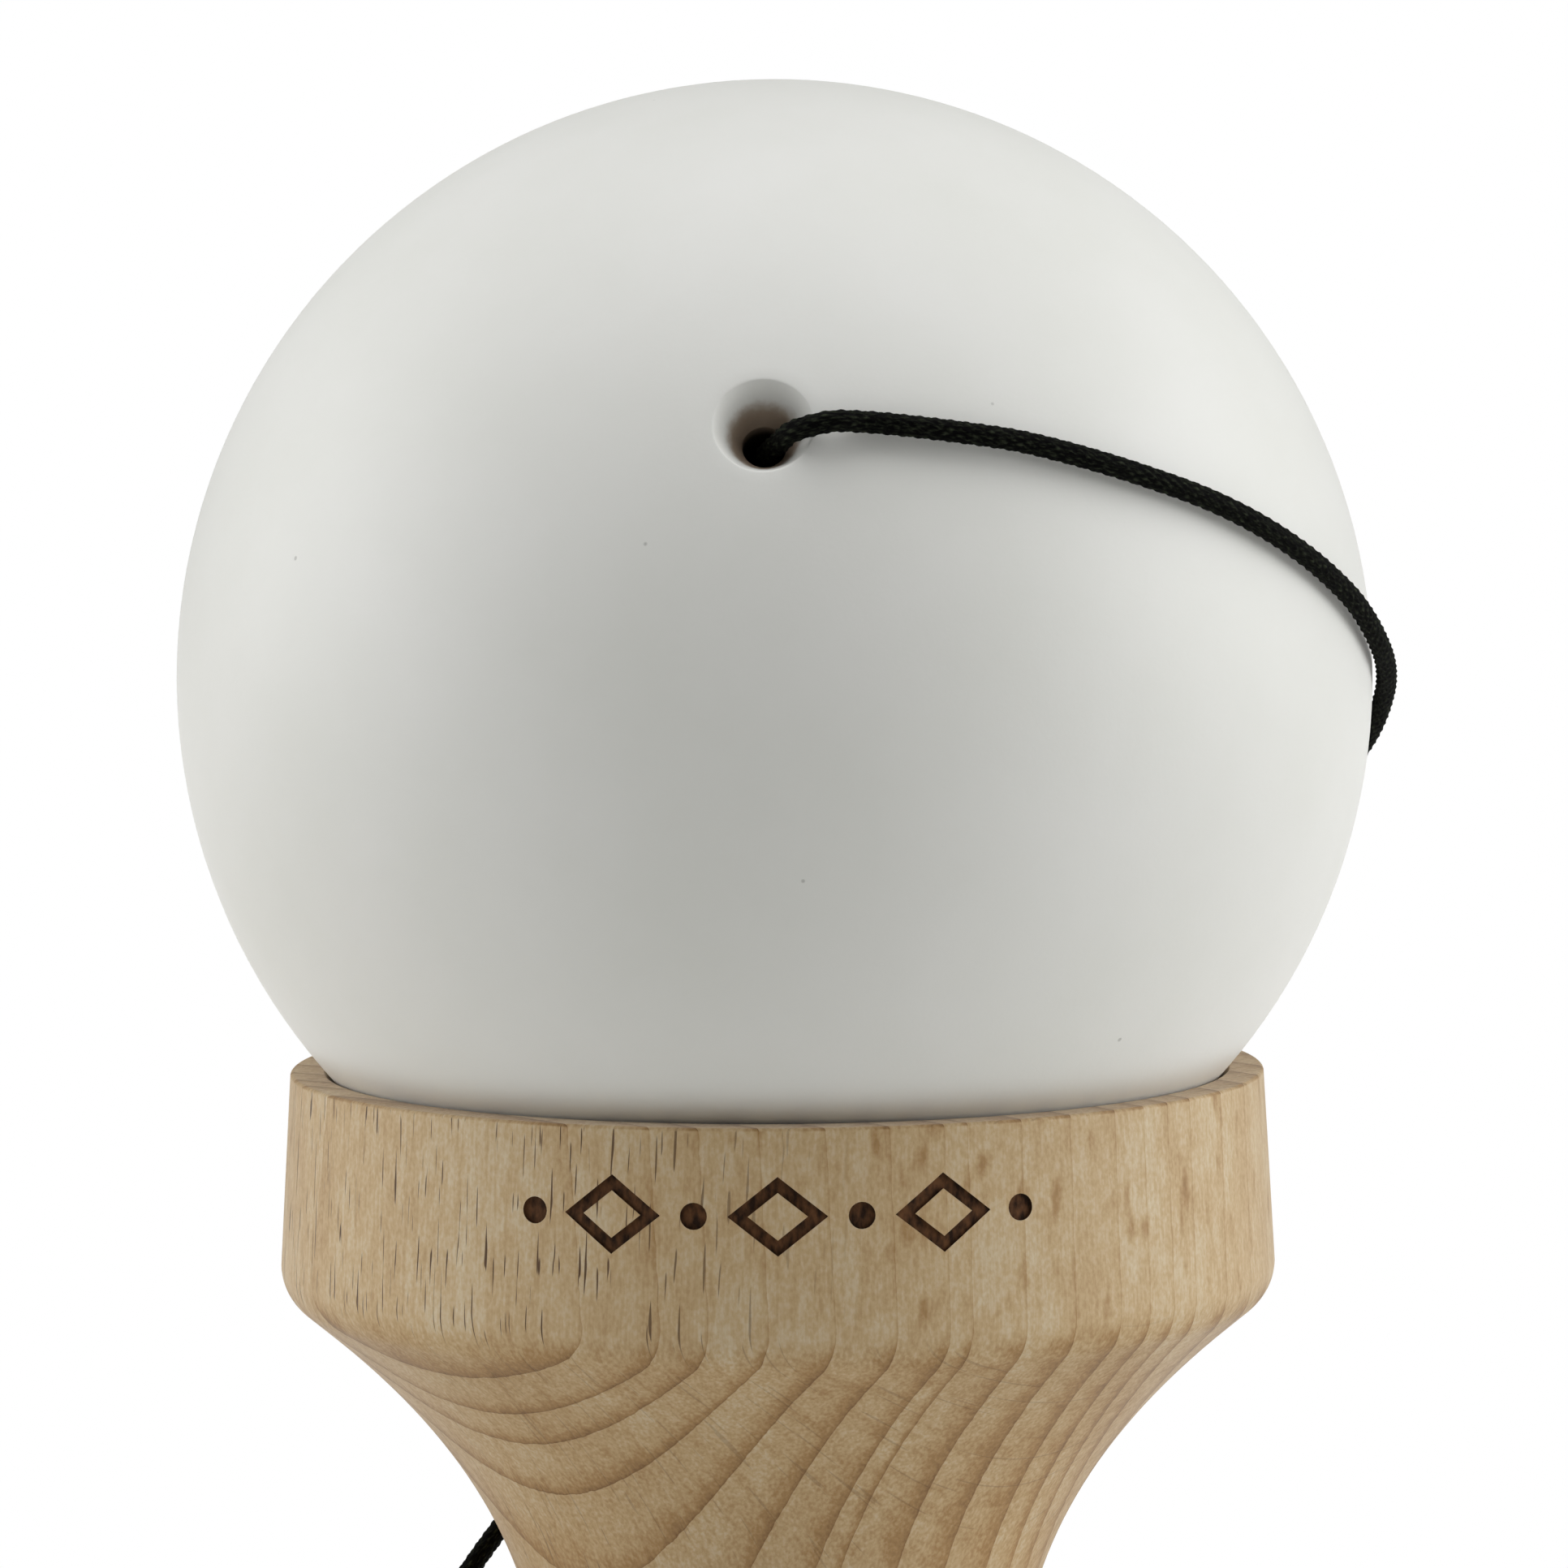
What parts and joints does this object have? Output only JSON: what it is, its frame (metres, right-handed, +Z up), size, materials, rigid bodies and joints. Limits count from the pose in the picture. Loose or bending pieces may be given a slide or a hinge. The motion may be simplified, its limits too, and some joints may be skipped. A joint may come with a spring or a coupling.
{
  "type": "cup and ball toy",
  "caption": "Cup-and-ball toy: turned beech handle with spike and base cup, crosspiece with a big and a small cup, and a matte white drilled ball that rests in the big cup on a black string.",
  "frame": {"origin": "on the floor, at the centre of the small cup's rim, on the crosspiece's axis", "axes": "+Z up along the crosspiece towards the big cup and the ball, +X along the handle towards the spike's tip, -Y towards the front, where the ball's string hole faces"},
  "size_m": [0.166, 0.086, 0.1209],
  "materials": {
    "beech": "bare turned beech, sanded",
    "painted_ball": "matte white paint on wood",
    "bead_wood": "bare turned wood",
    "cord": "black braided nylon"
  },
  "bodies": {
    "ken_and_sarado": {"ken": "beech", "sarado": "beech", "string_free": "cord", "string_ken_end": "cord", "ken_knot": "cord"},
    "string_bead": {"bead": "bead_wood", "bead_knot": "cord", "string_ball_end": "cord"},
    "tama": {"tama": "painted_ball"}
  },
  "joints": [
    {"name": "tama_lift", "type": "slide", "parent": "ken_and_sarado", "child": "string_bead", "axis": [0, 0, 1], "range_m": [0, 0.08], "deforming": ["string_free"]},
    {"name": "tama_spin", "type": "hinge", "parent": "string_bead", "child": "tama", "pos_m": [0, 0, 0.09087], "axis": [-0.0155, -0.8869, 0.4617], "continuous": true}
  ]
}
